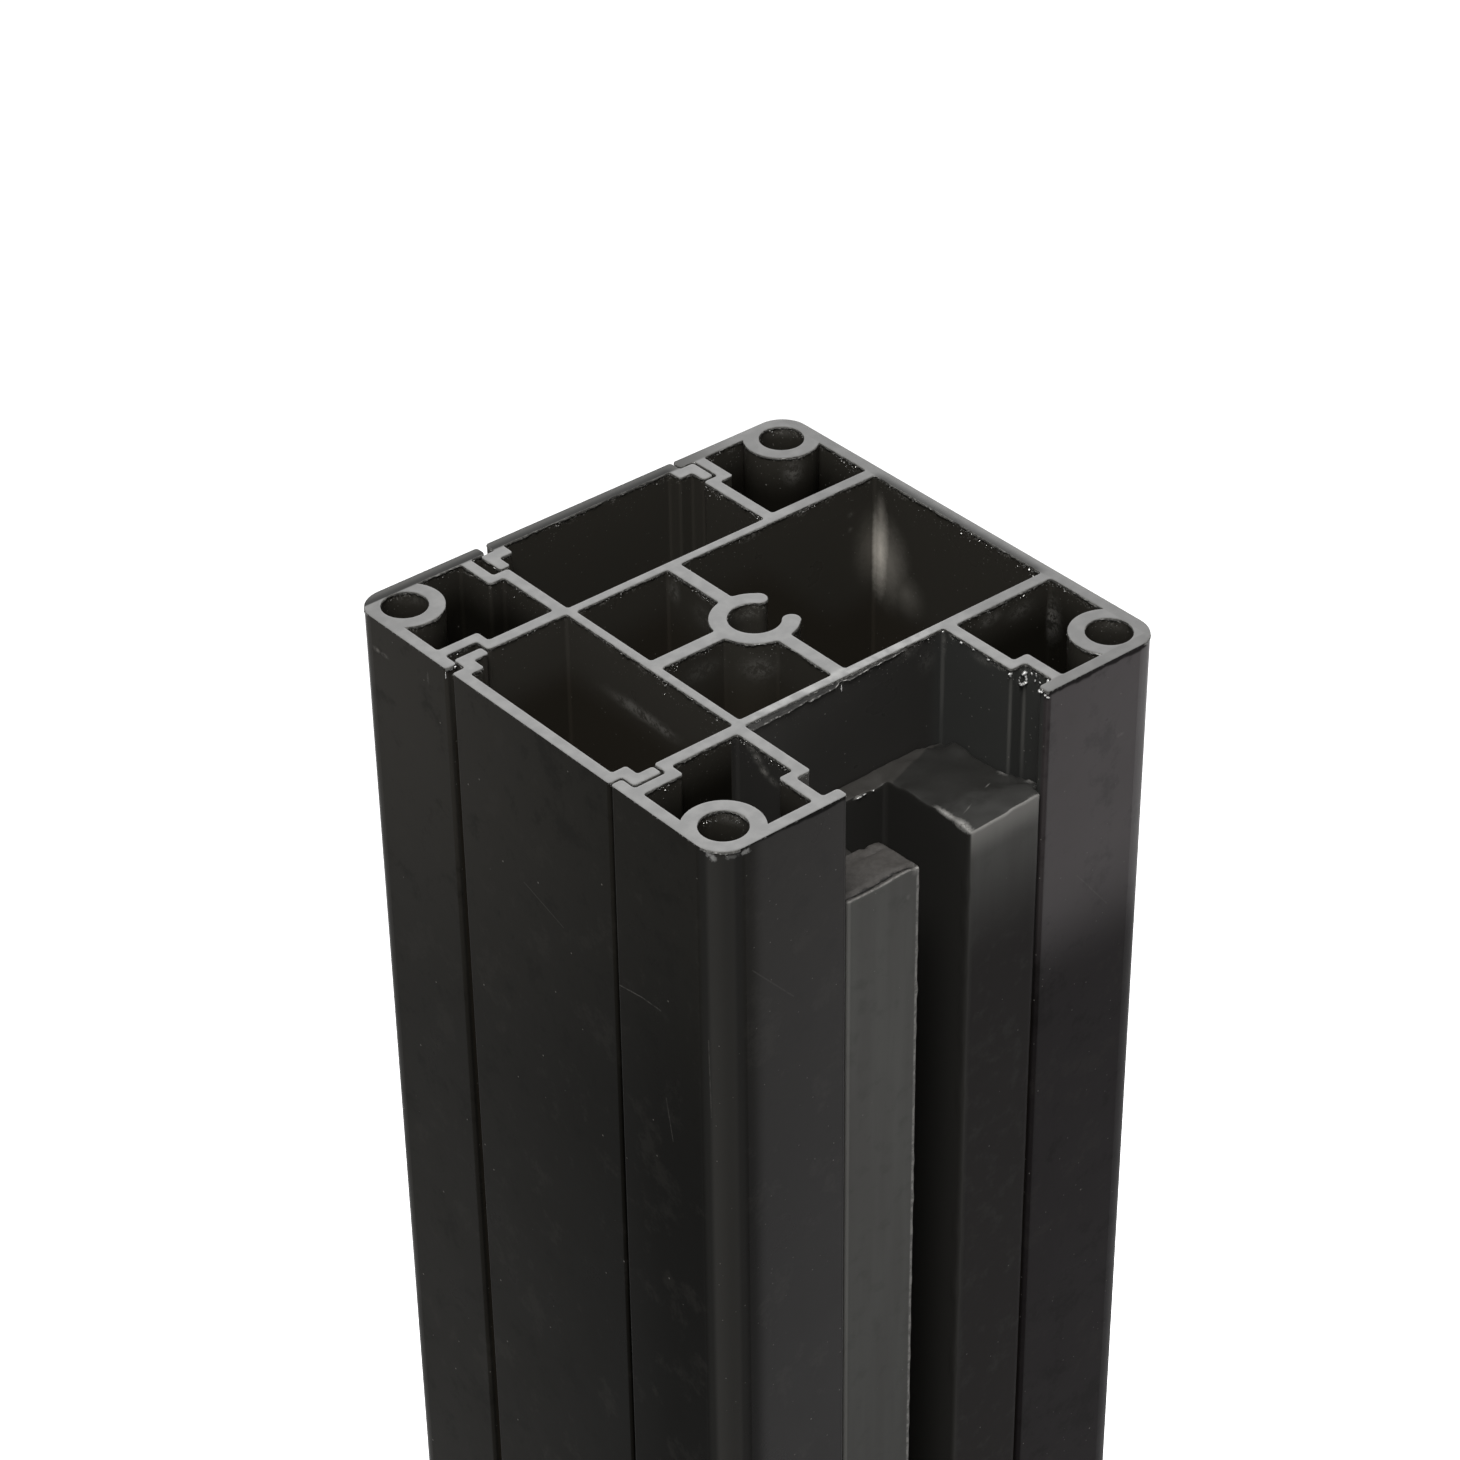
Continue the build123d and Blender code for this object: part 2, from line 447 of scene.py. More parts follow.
# Chips at the near corner, where the coat came off
CHIPS = [
    (-34.6, -32.8, 0.45, 0.35, 0.5, 0.5, 1.0), (-34.3, -33.3, 0.95, 0.5, 0.5, 0.5, 1.0),
    (-31.0, -35.0, 0.7, 0.8, 0.4, 0.4, 0.85), (-32.8, -34.6, 0.8, 1.3, 0.6, 0.34, 0.35),
]
# Scratches in the outer faces, each from one place to another, with its strength
SCRATCHES = [
    ((-35, -16.2, 28.9), (-35, -20.4, 28.2), 0.34), ((-35, -20.4, 28.2), (-35, -23.9, 28.1), 0.22),
    ((-35, -24.5, 41.0), (-35, -25.6, 47.0), 0.20),
    ((-34.8, -32.4, 27.5), (-34.75, -32.6, 39.0), 0.16),
    ((-35, 2.0, 24.0), (-35, -5.5, 26.5), 0.12), ((-30.2, -35, 18.0), (-24.0, -35, 25.0), 0.10),
    ((22.0, -35, 30.0), (27.5, -35, 37.0), 0.10),
]
print(len(SMEARS_AND_HIGHLIGHTS), "smears,", len(CHIPS), "chip spots,", len(SCRATCHES), "scratches")

# %% [markdown]
# ## Colour of the outer faces and the inside walls
#
# The outer faces carry a painted sheen away from the near corner and towards the top, and
# are painted darker towards the bottom as shade; the right-hand faces are painted lit above
# and in painted shade below. Inside, saw dust and painted light reach only a few millimetres
# down, a different depth in each hollow, and the walls are painted black below as shade.
# Both are blends of flat colours by place, because the photograph shows the depth of a
# hollow as a change of tone more than as a change of shape. The limits are millimetres from
# the post's axis: 35 for the faces, 16.65 for the slots' floors, 18.1 for the sides of the
# recesses and 17.4 for the corner boxes.

# %% Skin of the coat by place
def outer_skin(place):
    """Colour of the outer faces, with a painted sheen, painted shade and a painted corner
    highlight.
    """
    x, y, below = where(place)
    corner_sum = plus(x, y)
    # Painted sheen: lighter away from the near corner, towards the top and on the right-hand faces
    sheen_share = times(fade(corner_sum, -62.0, 0.0), fade(below, 60.0, 0.0, 0.4, 1.0))
    sheen_share = most(sheen_share, fade(x, 14.0, 17.0, 0.0, 0.9))
    # Painted shade: the coat gets darker towards the bottom
    painted_shade_below = blend_of(fade(below, 0.0, 60.0), COAT, COAT_LOW)
    dust_and_sheen = blend_of(fade(y, -34.4, -34.9), COAT_SHEEN_AND_MOTTLE, COAT_FRONT_SHEEN)
    # The right-hand faces are painted lit near the top and in painted shade lower down
    shade = fade(below, *RIGHT_SHADE)
    right_lit_and_shaded = blend_of(shade, COAT_RIGHT_LIT, COAT_FILM_SHADED)
    dust_and_sheen = blend_of(fade(x, 0.0, 10.0), dust_and_sheen, right_lit_and_shaded)
    skin = blend_of(sheen_share, painted_shade_below, dust_and_sheen)
    blotch = grain(place, 0.16, 5.0, rough=0.7)
    skin = blend_of(fade(blotch, 0.52, 0.68, 0.0, 0.4), skin, COAT_LOW)
    skin = blend_of(fade(blotch, 0.46, 0.32, 0.0, 0.22), skin, COAT_SHEEN_AND_MOTTLE)
    # Painted highlight on the rounded near corner
    return blend_of(fade(corner_sum, -66.0, -67.0), skin, COAT_CORNER_HIGHLIGHT)


def inside_walls(place, torn):
    """Shares of the inside, of the open slot and of the deep part in painted shade, and their
    colour, painted lit above that part.
    """
    x, y, below = where(place)
    far_x, far_y = unsigned(x), unsigned(y)
    from_side = minus(FACE, most(far_x, far_y))
    from_corner = minus(2 * FACE - 4.4, plus(far_x, far_y))
    nearest = maths("MINIMUM", from_side, plus(from_corner, 0.5))
    inner = fade(nearest, 0.5, 1.0)
    in_slot = times(fade(y, -16.4, -16.6), fade(far_x, 18.4, 18.2))
    back_right = times(fade(x, 12.0, 28.0), fade(far_y, 16.5, 16.0))
    corner_box = fade(maths("MINIMUM", far_x, far_y), 16.9, 17.1)
    left = times(fade(x, -16.5, -16.6), fade(far_y, 16.9, 16.7))
    back = times(fade(y, 16.5, 16.6), fade(far_x, 16.9, 16.7))
    back_reach = fade(x, -16.0, 8.0, 5.0, 14.0)

    # How many millimetres further down each hollow is lit
    further = [(in_slot, 40.0), (back_right, 12.0), (corner_box, -3.0), (left, 2.0),
               (back, back_reach)]
    reach = fade(torn, 0.3, 0.7, LIT_DEPTH - REACH_SPREAD, LIT_DEPTH + REACH_SPREAD)
    for hollow, more in further:
        reach = plus(reach, times(hollow, more))
    # Painted shade: below the lit depth the walls turn dark
    deep_shade = fade(minus(below, reach), -3.5, 3.5)
    slot_colour = blend_of(fade(x, 13.0, 15.5), COAT_SLOT, COAT_SLOT_RIGHT)
    lit = blend_of(left, COAT_INSIDE_LIT, COAT_SLOT_LEFT)
    lit = blend_of(in_slot, lit, slot_colour)
    dark = blend_of(corner_box, COAT_DEEP_SHADE, COAT_BOX_DEEP_SHADE)
    return inner, in_slot, deep_shade, blend_of(deep_shade, lit, dark)


# %% [markdown]
# ## Saw dust and a painted shadow below the edge
#
# Saw dust sticks just below the cut, most of all as a fuzz on the rim, and single specks lie
# everywhere. Cells of a Voronoi texture scatter such specks with no pattern to be seen. On
# the open slot's side a thin dark line just below the coat's edge is a painted shadow under
# the burr, and that line is dull too.

# %% Dust and painted edge shadow
def saw_dust(place, inner, in_slot):
    """Share of dust at each place."""
    below = where(place)[2]
    drift = fade(grain(place, 0.3, 4.0, rough=0.65), 0.42, 0.62, 0.15, 1.0)
    near_cut = times(fade(below, 5.0, 0.2), drift, inner)
    sticking = times(specks(place, 2.4, 0.09, 0.5), near_cut)
    fine = times(specks(place, 0.9, 0.12, 0.35), between(in_slot, 0.3, 0.6))
    coarse = times(specks(place, 0.28, 0.16, 0.3), 0.6)
    fuzz_low = fade(grain(place, 0.35, 3.0), 0.4, 0.68, 0.15, 1.1)
    fuzz = fade(minus(below, fuzz_low), 0.35, -0.35)
    tufts = fade(grain(place, 3.2, 2.0, rough=0.7), 0.5, 0.62)
    return most(fine, coarse, sticking, times(fuzz, tufts, inner, 0.55))


def edge_shadow_band(place):
    """Share of the painted shadow just below the front face's upper edge, under the burr."""
    x, y, below = where(place)
    wavy = fade(grain(place, 0.5, 2.0), 0.3, 0.7, 0.5, 0.8)
    edge = times(wavy, fade(x, -33.0, -17.0, 0.3, 1.0))
    edge_shadow = fade(minus(below, edge), 0.28, -0.22, 0.0, 0.8)
    return times(edge_shadow, fade(y, 0.3 - FACE, 0.1 - FACE))


# %% [markdown]
# ## Gloss, and the coat as a whole
#
# The faces of the real post don't mirror alike. Handling dulled some of them, and the floor
# and the cards show in them at different slants. So the gloss is turned down face by face,
# and the coat stays black from every side. Last, the colours and the gloss meet in one shader.

# %% Coat shader
def coat_gloss(place, dull):
    """How strongly the coat mirrors at each place."""
    x, y, below = where(place)
    beside_corner = times(fade(y, -34.6, -34.9), fade(x, -27.5, -31.3))
    low_left = times(fade(plus(x, y), -45.0, -64.0),
                     fade(below, 5.0, 45.0), fade(y, -31.5, -30.5))
    low_right = times(fade(x, 8.0, 15.0), fade(below, *RIGHT_SHADE))
    lip = times(fade(unsigned(x), 16.5, 16.1), fade(y, -34.2, -34.5))
    other_faces = most(fade(x, -34.5, -34.9), fade(most(x, y), 34.5, 34.9))
    factors = [(beside_corner, 1.0, 0.35), (low_left, 1.0, 0.7), (low_right, 1.0, 0.16),
               (lip, 1.0, 0.4), (other_faces, 0.28, 0.05)]
    gloss = between(dull, 0.35, 0.1)
    for part, away_from_it, on_it in factors:
        gloss = times(gloss, between(part, away_from_it, on_it))
    return gloss


def coat_shader(place):
    """Black powder coat with orange peel, smudges, smears, saw dust below the cut, and painted
    highlights and shade.
    """
    torn = grain(place, 1.0, 5.0, rough=0.8)
    ragged = fade(torn, 0.3, 0.7, -0.45, 0.45)
    inner, in_slot, deep_shade, lining = inside_walls(place, torn)
    colour = blend_of(inner, outer_skin(place), lining)
    cloud = fade(torn, 0.44, 0.62, 0.1, 1.0)
    smears_and_highlights = times(patches(place, ragged, SMEARS_AND_HIGHLIGHTS), cloud)
    # Dust and smears, together with painted highlights on edges and walls
    dust_and_sheen = most(smears_and_highlights, patches(place, 0.0, PAINTED_EDGE_HIGHLIGHTS))
    colour = blend_of(most(saw_dust(place, inner, in_slot), dust_and_sheen), colour, DUST_AND_HIGHLIGHTS)
    # Painted highlight streak in the middle chamber
    highlight_streak = patches(place, times(ragged, 0.15), HIGHLIGHT_STREAK, 1.3, -0.5)
    colour = blend_of(highlight_streak, colour, HIGHLIGHT_STREAK_PALE)
    scored = most(*[scratch(place, *line) for line in SCRATCHES])
    scored = times(scored, fade(torn, 0.35, 0.6, 0.2, 1.0))
    colour = blend_of(scored, colour, DUST_AND_HIGHLIGHTS)
    edge_shadow = edge_shadow_band(place)
    # Painted shadow: a thin dark line below the front face's upper edge
    colour = blend_of(edge_shadow, colour, COAT_EDGE_SHADOW)

    smudge = grain(place, 0.07, 4.0, rough=0.6)
    matte = fade(most(dust_and_sheen, edge_shadow), 0.2, 0.9, 0.0, 0.45)
    rough = plus(fade(smudge, 0.3, 0.7, 0.27, 0.36), matte)
    peel = {"Height": grain(place, 1.5, 1.0), "Strength": 0.15, "Distance": 0.02 * MM}
    bump = put("Bump", peel)
    gloss = coat_gloss(place, most(edge_shadow, times(deep_shade, inner)))
    front_face = fade(where(place)[1], -34.6, -34.9)
    inputs = {"Base Color": colour, "Roughness": rough, "Normal": bump.outputs[0]}
    inputs["Specular IOR Level"] = gloss
    # The front faces get a painted reflection tint
    inputs["Specular Tint"] = blend_of(front_face, COAT_TINT, COAT_FRONT_REFLECTION_TINT)
    return put("BsdfPrincipled", inputs)


# %% [markdown]
# ## Sawn metal
#
# The bare end is matte aluminium with the saw's fine lines across it. Its arrises are rolled
# over a little; on the saw's near side they are painted darker than the middle of each wall,
# a painted shade, and the crisp ones on its far side carry a painted highlight. A bevel node
# finds them: it gives the surface's direction as if every edge were rounded, and where that
# direction leaves the true one, there is an arris. One material holds the coat and the sawn
# end, and chooses by which way the surface faces, because both are on the same piece.

# %% Sawn metal
SAWN = (0.33, 0.328, 0.323)
SAWN_DARK = (0.28, 0.279, 0.276)
SAWN_DULL = (0.065, 0.064, 0.060)
SAWN_BRIGHT = (0.46, 0.458, 0.45)
SAWN_RIM = (0.17, 0.168, 0.16)
SAWN_SOILED = (0.010, 0.010, 0.009)
# Which way the saw went across the end
SAW_HEADING = (0.64, 0.77)


def facing_up():
    """How squarely the real surface faces up or down, 0 to 1."""
    normal = put("NewGeometry").outputs["True Normal"]
    return unsigned(put("SeparateXYZ", {0: normal}).outputs["Z"])


def arrises(radius):
    """Shares of the rolled edges on the saw's near side, painted in shade, and of the crisp ones
    on its far side, painted with a highlight.
    """
    rounded = put("Bevel", {"Radius": radius * MM}, samples=8).outputs[0]
    back_at_saw = (-SAW_HEADING[0], -SAW_HEADING[1], 0.0)
    lean = vectors("DOT_PRODUCT", rounded, back_at_saw)
    return fade(lean, 0.04, 0.5), fade(lean, -0.04, -0.5)


def dull_share(x, y):
    """How dull the cut is at each place: most on the back strip, some round the far corners."""
    back = times(fade(y, 33.0, 33.5), fade(x, 31.0, 13.0, 0.12, 0.9))
    plain = fade(x, 33.0, 33.5, 0.0, 0.36)
    front = times(fade(y, -33.0, -33.5), fade(x, 8.0, 18.0, 0.0, 0.42))
    left = times(fade(y, 20.0, 32.0), fade(x, -20.0, -32.0, 0.0, 0.28))
    right = fade(x, 17.0, 24.0, 0.0, 0.27)
    return most(back, plain, front, left, right)


def soiled_share(x, y):
    """How soiled the cut is along the inner arris of the two far walls."""
    back = times(fade(y, 34.8, 33.6, 0.0, 0.9), fade(x, 15.5, 13.5),
                 fade(y, 33.3, 33.4))
    plain = times(fade(x, 34.8, 33.4, 0.0, 0.75), fade(x, 33.2, 33.35),
                  fade(unsigned(y), 16.5, 14.0))
    return most(back, plain)


def sawn_shader(place):
    """Matte bare aluminium with fine saw lines across it."""
    x, y, _ = where(place)
    cloud = grain(place, 0.5, 4.0)
    colour = blend_of(fade(cloud, 0.35, 0.7), SAWN_DARK, SAWN)
    brushed = times(fade(y, -14.8, -15.4), fade(unsigned(x), 17.0, 11.0),
                    fade(cloud, 0.35, 0.65, 0.1, 0.85))
    colour = blend_of(brushed, colour, SAWN_BRIGHT)
    nicks = fade(grain(place, 1.6, 3.0, rough=0.7), 0.35, 0.65, 0.45, 1.0)
    rolled_shade, crisp_highlight = arrises(0.5)
    # Painted shade on the rolled arrises and a painted highlight on the crisp ones
    colour = blend_of(times(rolled_shade, nicks), colour, SAWN_RIM)
    colour = blend_of(times(crisp_highlight, 0.35), colour, SAWN_BRIGHT)
    colour = blend_of(dull_share(x, y), colour, SAWN_DULL)
    colour = blend_of(soiled_share(x, y), colour, SAWN_SOILED)
    saw_lines = grain(place, 1.0, 3.0, stretch=(5.0, 0.35, 1.0))
    bump = put("Bump", {"Height": saw_lines, "Strength": 0.3, "Distance": 0.02 * MM})
    inputs = {"Base Color": colour, "Roughness": 0.55, "Metallic": 0.35, "Normal": bump.outputs[0]}
    return put("BsdfPrincipled", inputs)


# %% Coat and sawn end on one material
coat, out, place = new_finish("powder_coat_and_sawn_end")
rim_noise = grain(place, 2.2, 3.0, rough=0.7)
rim = fade(where(place)[2], 0.26, 0.05)
rim_chips = times(rim, fade(rim_noise, 0.56, 0.62))
corner_chips = patches(place, fade(rim_noise, 0.3, 0.7, -0.3, 0.3), CHIPS)
bare = most(fade(facing_up(), 0.5, 0.6), rim_chips, corner_chips)
show(out, mix_shaders(bare, coat_shader(place), sawn_shader(place)))
for piece in [post, *covers]:
    piece.data.materials.clear()
    piece.data.materials.append(coat)
print("coat on", [o.name for o in [post, *covers]])

# %% [markdown]
# ## Outlines of the sawn end
#
# Burrs and chips follow the edges of the cut, so their outlines are needed. They are read
# off the model: every edge of the flat end that has a face on one side only is on an
# outline. Each outline runs with the metal on its left, so the open space is on its right.

# %% Read the outlines
def outlines_at(node, level):
    """Closed outlines of a node's flat end at that height, as arrays of x and y."""
    corners = [v.co for v in node.data.vertices]
    key = [(round(c.x * 1e7), round(c.y * 1e7)) for c in corners]
    sides = set()
    for face in node.data.polygons:
        if all(abs(corners[i].z - level) < 1e-6 for i in face.vertices):
            names = [key[i] for i in face.vertices]
            sides.update(zip(names, names[1:] + names[:1]))
    follows = {a: b for a, b in sides if (b, a) not in sides}
    outlines = []
    while follows:
        start, here = follows.popitem()
        outline = [start]
        while here != start:
            outline.append(here)
            here = follows.pop(here)
        outlines.append(np.array(outline) * 1e-7)
    return sorted(outlines, key=lambda o: (len(o), o.sum()))


def evenly(outline, step):
    """Points spaced evenly along a closed outline, and at each the direction to its right."""
    closed = np.vstack([outline, outline[:1]])
    along = np.concatenate([[0], np.cumsum(np.linalg.norm(np.diff(closed, axis=0), axis=1))])
    count = max(12, round(along[-1] / step))
    at = np.arange(count) * along[-1] / count
    points = np.stack([np.interp(at, along, closed[:, i]) for i in (0, 1)], 1)
    ahead = np.roll(points, -1, 0) - np.roll(points, 1, 0)
    ahead /= np.linalg.norm(ahead, axis=1)[:, None]
    return points, np.stack([ahead[:, 1], -ahead[:, 0]], 1)


cut_outlines = [o for piece in [post, *covers] for o in outlines_at(piece, top)]
print(len(cut_outlines), "outlines in the sawn end")

# %% [markdown]
# ## Burrs
#
# A saw pushes a little metal and coat over the edges that it leaves. Such a burr is only a
# tenth or two of a millimetre wide, but it catches the light and makes every edge of the
# end look rough. It is built as a thin lip that follows the outlines, level with the cut
# and curling down over the wall. Where its width is below nothing it is left out.

# %% Burrs along the cut
BURR_STEP = 0.22 * MM
BURR_WIDEST = 0.28
BURR_LEAST_DROP = 0.07
BURR_DARK = (0.06, 0.058, 0.053)
# Painted glint colour for the bright sparkle on the burrs' sides
BURR_GLINT = (0.50, 0.49, 0.46)
# Section of a burr, from the metal outwards and down: a share of its width and millimetres
# more, then a share of its drop and millimetres more
BURR_SECTION = [
    (0.0, -0.04, 0.0, 0.004), (0.35, 0.0, 0.0, 0.02), (1.0, 0.0, 0.55, 0.0),
    (0.8, 0.0, 0.95, 0.0), (0.0, -0.02, 1.0, 0.0),
]


def wobble(points, per_mm, seed):
    """Smooth noise between about -1 and 1 for each point."""
    spots = [Vector((x * per_mm / MM, y * per_mm / MM, seed)) for x, y in points]
    return np.array([noise.noise(spot) for spot in spots])


def add_mesh(name, corners, faces, finish):
    """Mesh piece that rides on the post."""
    mesh = bpy.data.meshes.new(name)
    mesh.from_pydata([tuple(c) for c in corners], [], faces)
    mesh.validate()
    mesh.update()
    mesh.materials.append(finish)
    piece = add_object(name, mesh)
    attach(piece, "root")
    return piece


def burr_size(points, right):
    """Width and drop of the burr at each point of an outline, in metres."""
    width = 0.10 + 0.10 * wobble(points, 0.35, 3.0) + 0.12 * wobble(points, 2.0, 7.0)
    drop = 0.30 + 0.24 * wobble(points, 0.5, 11.0) + 0.20 * wobble(points, 2.6, 13.0)
    # It is smaller where the saw came in, and there is none on the outer faces
    far_side = np.clip(0.5 + 1.2 * (right @ np.array(SAW_HEADING)), 0, 1)
    width = width * (1 - 0.75 * far_side)
    drop = drop * (1 - 0.5 * far_side)
    outer = np.abs(points).max(1) > half_side - 0.05 * MM
    width[outer] = -0.1
    return np.minimum(width, BURR_WIDEST) * MM, np.maximum(drop, BURR_LEAST_DROP) * MM


def burr_lip(outline):
    """Corners and faces of the burr on one outline."""
    points, right = evenly(outline, BURR_STEP)
    width, drop = burr_size(points, right)
    rows = []
    for width_share, wider, drop_share, deeper in BURR_SECTION:
        out = width_share * width + wider * MM
        down = drop_share * drop + deeper * MM
        rows.append(np.column_stack([points + right * out[:, None], top - down]))
    corners = np.concatenate(rows)
    corners[:, :2] = np.clip(corners[:, :2], -half_side, half_side)
    count = len(points)
    faces = []
    for i in range(count):
        j = (i + 1) % count
        if max(width[i], width[j]) > 0.01 * MM:
            for upper in range(0, (len(rows) - 1) * count, count):
                lower = upper + count
                faces.append((upper + i, upper + j, lower + j, lower + i))
    return corners, faces


def loose_corners_removed(corners, faces):
    """Keeps only the corners that a face uses."""
    used = sorted({i for face in faces for i in face})
    new = {old: k for k, old in enumerate(used)}
    return [corners[i] for i in used], [tuple(new[i] for i in face) for face in faces]


burr_metal, out, place = new_finish("burr_metal")
# Painted glints: bright sparkle on the burr's side, more of it lower down
sparkle = fade(grain(place, 3.0, 3.0, rough=0.7), 0.50, 0.68)
lower = fade(where(place)[2], 0.10, 0.28, 0.15, 1.0)
side_colour = blend_of(times(sparkle, lower), BURR_DARK, BURR_GLINT)
colour = blend_of(fade(facing_up(), 0.6, 0.9), side_colour, SAWN_RIM)
inputs = {"Base Color": colour, "Roughness": 0.4, "Metallic": 0.3}
show(out, put("BsdfPrincipled", inputs))

all_corners, all_faces = [], []
for outline in cut_outlines:
    corners, faces = burr_lip(outline)
    all_faces += [tuple(i + len(all_corners) for i in face) for face in faces]
    all_corners += list(corners)
all_corners, all_faces = loose_corners_removed(all_corners, all_faces)
add_mesh("saw_burrs", all_corners, all_faces, burr_metal)
print("burrs", len(all_faces), "faces")

# %% [markdown]
# ## Saw crumbs
#
# Crumbs of metal and coat cling just below the cut, and a few larger scraps are caught in
# the open slot's right-hand recess and in the gap beside the left strip. Each crumb is a
# dented eight-sided lump, half sunk in the wall that it clings to, so none of them floats.

# %% Scraps and how a lump is made
rng = np.random.default_rng(7)
LUMP_CORNERS = np.vstack([(1, 0, 0), (-1, 0, 0), (0, 1, 0), (0, -1, 0), (0, 0, 1), (0, 0, -1)])
LUMP_FACES = [
    (0, 2, 4), (2, 1, 4), (1, 3, 4), (3, 0, 4), (2, 0, 5), (1, 2, 5), (3, 1, 5), (0, 3, 5),
]
SCRAP_COLOURS = (0.06, 0.058, 0.054), (0.66, 0.655, 0.64)
CRUMB_COLOURS = (0.05, 0.048, 0.044), (0.52, 0.51, 0.49)
# Scraps as x, y, depth and three half sizes, in millimetres
SCRAPS = [
    # A lump and a curl in the recess
    (17.80, -28.90, 1.25, 0.34, 0.26, 0.26), (17.62, -28.85, 1.36, 0.22, 0.2, 0.18),
    (17.95, -28.90, 1.75, 0.16, 0.2, 0.26), (18.02, -28.95, 2.2, 0.12, 0.16, 0.28),
    (17.94, -28.95, 2.62, 0.26, 0.22, 0.19), (17.66, -28.85, 2.78, 0.32, 0.22, 0.18),
    (17.36, -28.8, 2.70, 0.26, 0.2, 0.16), (17.14, -28.75, 2.5, 0.16, 0.16, 0.15),
    (17.05, -28.75, 2.1, 0.08, 0.12, 0.2), (17.15, -28.75, 1.7, 0.08, 0.12, 0.16),
    (15.72, -28.55, 0.62, 0.3, 0.18, 0.13), (15.8, -28.5, 0.95, 0.14, 0.12, 0.24),
    (18.02, -29.8, 0.95, 0.08, 0.16, 0.2), (18.02, -30.6, 0.8, 0.12, 0.14, 0.36),
    (18.03, -30.4, 1.7, 0.08, 0.14, 0.16), (18.0, -31.3, 1.5, 0.1, 0.16, 0.14),
    (18.0, -32.7, 0.75, 0.2, 0.24, 0.34), (18.0, -33.0, 1.35, 0.14, 0.16, 0.16),
    (18.02, -32.1, 1.5, 0.1, 0.12, 0.24), (17.9, -33.25, 0.7, 0.14, 0.12, 0.2),
    # Beads on the lip beside it
    (15.70, -33.6, 0.5, 0.2, 0.26, 0.2), (15.68, -33.95, 0.42, 0.14, 0.2, 0.16),
    (15.72, -34.55, 0.62, 0.13, 0.15, 0.16), (15.82, -34.85, 0.8, 0.16, 0.09, 0.13),
    (16.0, -34.93, 0.9, 0.17, 0.06, 0.1), (16.25, -34.94, 0.86, 0.17, 0.05, 0.1),
    # Single scraps on the slot's floor and side
    (15.76, -19.9, 0.5, 0.14, 0.26, 0.14), (15.76, -22.0, 0.4, 0.12, 0.2, 0.12),
    (15.77, -24.6, 0.55, 0.09, 0.22, 0.12), (15.68, -16.76, 0.4, 0.15, 0.15, 0.12),
    (-0.6, -16.68, 1.6, 0.1, 0.08, 0.5),
    (-0.35, -19.70, 15.98, 0.42, 0.12, 0.11), (0.5, -19.72, 15.88, 0.26, 0.1, 0.1),
    (1.95, -19.72, 15.98, 0.13, 0.1, 0.1),
    # In the gap beside the left strip
    (-34.2, 15.78, 0.35, 0.3, 0.14, 0.16), (-33.6, 15.75, 0.3, 0.16, 0.16, 0.14),
    (-34.6, 14.5, 0.3, 0.2, 0.14, 0.12), (-33.9, 14.5, 0.55, 0.22, 0.16, 0.14),
    (-32.6, 15.78, 0.45, 0.2, 0.14, 0.16), (-34.95, 15.9, 1.0, 0.04, 0.1, 0.5),
]


def lump(centre, sizes):
    """Corners of one dented lump. Centre and half sizes are in metres."""
    dents = rng.uniform(0.55, 1.1, (6, 1))
    lean = rng.normal(0, 0.25, (6, 3))
    return np.asarray(centre) + (LUMP_CORNERS * dents + lean * 0.5) * np.asarray(sizes)


def round_lump():
    """Corners and faces of a ball of 80 triangles, one unit in radius."""
    ball = bmesh.new()
    bmesh.ops.create_icosphere(ball, subdivisions=2, radius=1.0)
    corners = np.array([tuple(v.co) for v in ball.verts])
    faces = [tuple(v.index for v in face.verts) for face in ball.faces]
    ball.free()
    return corners, faces


BALL_CORNERS, BALL_FACES = round_lump()


def scrap(centre, sizes):
    """Corners of one torn scrap: the ball, dented by noise and stretched."""
    swell = np.array([noise.noise(Vector(c) * 1.3 + Vector(centre) / MM) for c in BALL_CORNERS])
    return np.asarray(centre) + BALL_CORNERS * (1 + 0.75 * swell)[:, None] * np.asarray(sizes)


def lump_piece(name, lumps, lump_faces, colours, share_light):
    """One mesh of many lumps, with its own bright and dark mottled metal."""
    corners = np.concatenate(lumps)
    corners[:, :2] = np.clip(corners[:, :2], -half_side, half_side)
    corners[:, 2] = np.minimum(corners[:, 2], top - 0.01 * MM)
    each = len(lumps[0])
    faces = [tuple(each * k + i for i in face) for k in range(len(lumps)) for face in lump_faces]
    limits = (0.62 - share_light, 0.82 - share_light)
    finish = mottled(name, 1.6, limits, colours, 0.35, 0.4, detail=3.0, rough=0.8)
    print(name, len(lumps))
    return add_mesh(name, corners, faces, finish)


# %% Caught scraps and saw crumbs
# The port in the near corner, where the saw threw more crumbs, and its radius
NEAR_PORT = (-30.35, -30.35)
PORT_RADIUS = 3.0
PORT_CRUMBS = 46
CRUMB_STEP = 0.5 * MM

scraps = []
for x, y, depth, *sizes in SCRAPS:
    scraps.append(scrap((x * MM, y * MM, top - depth * MM), np.array(sizes) * MM))
caught = lump_piece("caught_scraps", scraps, BALL_FACES, SCRAP_COLOURS, 0.28)
caught.data.shade_smooth()

